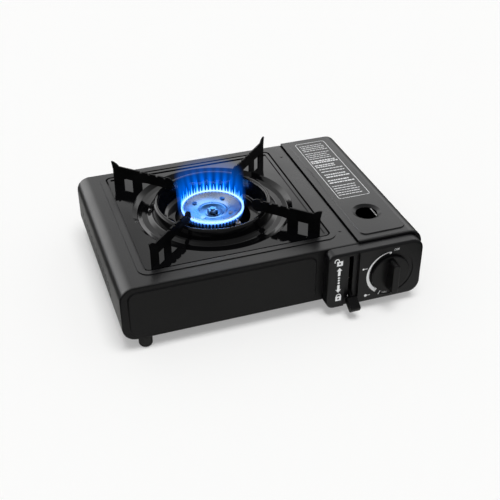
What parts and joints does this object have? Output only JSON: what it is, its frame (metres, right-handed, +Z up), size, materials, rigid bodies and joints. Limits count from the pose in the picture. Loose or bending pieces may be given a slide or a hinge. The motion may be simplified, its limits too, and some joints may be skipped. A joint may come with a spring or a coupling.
{
  "type": "portable gas stove",
  "caption": "Portable gas stove: pressed steel case, ring burner in a drip pan with pan supports, hinged cartridge bay lid, ignition knob and cartridge lever.",
  "frame": {"origin": "centre of the bounding box at the feet's bottoms", "axes": "+X to the right of a person at the knob, +Y away from them, +Z up"},
  "size_m": [0.35, 0.279, 0.1118],
  "materials": {
    "case_coat": "satin black powder coat",
    "pan_enamel": "gloss black enamel",
    "support_coat": "matt black heat-proof coat",
    "burner_alloy": "cast and machined",
    "zinc_steel": "zinc plated sheet",
    "bright_steel": "bright plated",
    "pipe_metal": "drawn tube",
    "cast_zinc": "as cast",
    "fitting_brass": "turned",
    "black_plastic": "semi-gloss moulded",
    "igniter_plastic": "moulded",
    "white_ceramic": "glazed ceramic",
    "lead_sleeve": "silicone sleeve",
    "foot_rubber": "moulded rubber"
  },
  "bodies": {
    "stove": {"base_shell": "case_coat", "front_plate": "case_coat", "rear_plate": "case_coat", "partition_wall": "zinc_steel", "top_rivets": "case_coat", "burner_head": "burner_alloy", "burner_cap": "burner_alloy", "cap_screw": "bright_steel", "burner_body": "burner_alloy", "burner_bridge": "zinc_steel", "burner_screws": "bright_steel", "air_shutter": "zinc_steel", "nozzle_holder": "zinc_steel", "holder_screw": "bright_steel", "injector_nozzle": "fitting_brass", "gas_pipe": "pipe_metal", "pipe_nuts": "fitting_brass", "regulator_body": "cast_zinc", "regulator_cover": "cast_zinc", "cover_screws": "bright_steel", "regulator_screws": "bright_steel", "cartridge_seat": "fitting_brass", "seat_seal": "foot_rubber", "piezo_igniter": "igniter_plastic", "ignition_lead": "lead_sleeve", "electrode_insulator": "white_ceramic", "igniter_electrode": "bright_steel", "electrode_clip": "zinc_steel", "lever_pivot_pin": "bright_steel", "latch_rods": "bright_steel", "lid_hinge_pins": "bright_steel", "control_housing": "black_plastic", "housing_screws": "bright_steel", "feet": "foot_rubber", "foot_screws": "bright_steel", "plate_screws": "case_coat"},
    "bay_lid": {"bay_lid": "case_coat"},
    "knob": {"knob": "black_plastic", "knob_shaft": "bright_steel"},
    "lever": {"lever": "zinc_steel", "lever_grip": "black_plastic"},
    "latch": {"latch_plate": "zinc_steel"},
    "drip_pan": {"drip_pan": "pan_enamel", "pan_support_front_left": "support_coat", "pan_support_front_right": "support_coat", "pan_support_back_left": "support_coat", "pan_support_back_right": "support_coat"}
  },
  "joints": [
    {"name": "lid_hinge", "type": "hinge", "parent": "stove", "child": "bay_lid", "pos_m": [0.173, 0.015, 0.037], "axis": [0, 1, 0], "range_deg": [0, 95]},
    {"name": "knob_turn", "type": "hinge", "parent": "stove", "child": "knob", "pos_m": [0.1303, -0.1235, 0.0455], "axis": [0, -1, 0], "range_deg": [0, 150]},
    {"name": "lever_swing", "type": "hinge", "parent": "stove", "child": "lever", "pos_m": [0.0835, -0.0735, 0.048], "axis": [-1, 0, 0], "range_deg": [0, 56]},
    {"name": "latch_slide", "type": "slide", "parent": "stove", "child": "latch", "axis": [0, 1, 0], "range_m": [0, 0.00752]},
    {"name": "pan_lift", "type": "slide", "parent": "stove", "child": "drip_pan", "axis": [0, 0, 1], "range_m": [0, 0.12]}
  ],
  "couplings": [
    {"joint": "latch_slide", "follows": "lever_swing", "m_per_rad": 0.0076853}
  ]
}
